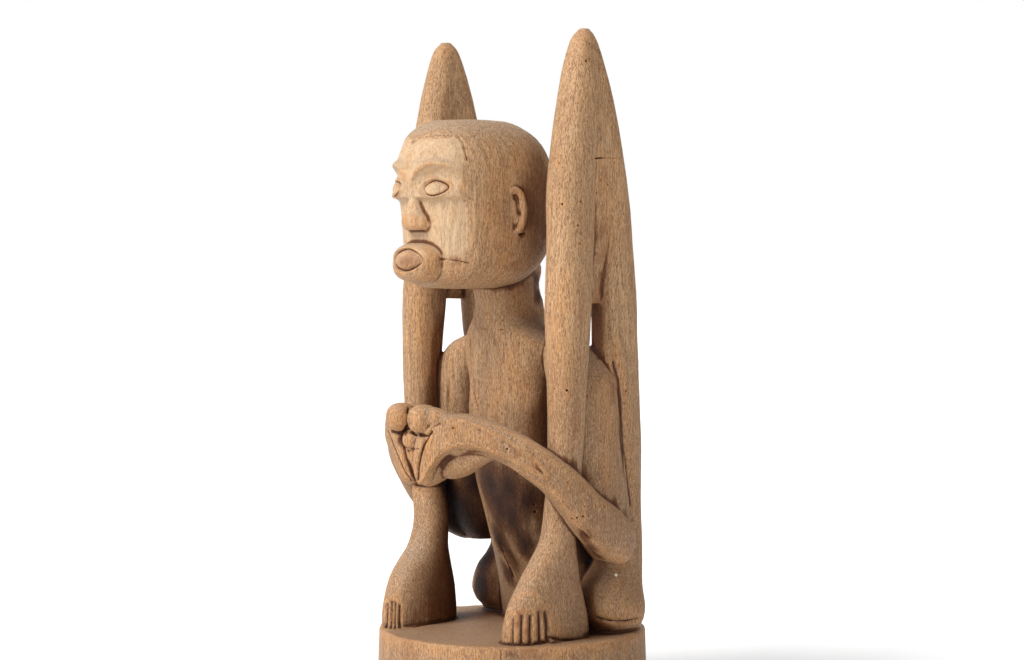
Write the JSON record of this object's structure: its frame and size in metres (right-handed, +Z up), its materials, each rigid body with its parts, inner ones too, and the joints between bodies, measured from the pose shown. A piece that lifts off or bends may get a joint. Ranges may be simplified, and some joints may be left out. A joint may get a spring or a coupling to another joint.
{
  "type": "carved tribal figure",
  "caption": "Wooden figure carved from one log, squatting on a low round base with its arms passed inside the bent knees and its hands joined in front.",
  "frame": {"origin": "centre of the base's underside", "axes": "+Z up, the figure faces -Y and its left side is at +X"},
  "size_m": [0.1723, 0.164, 0.3986],
  "materials": {
    "wood": "dry, weathered hand-carved hardwood"
  },
  "bodies": {
    "root": {"carved_figure": "wood"}
  },
  "joints": []
}
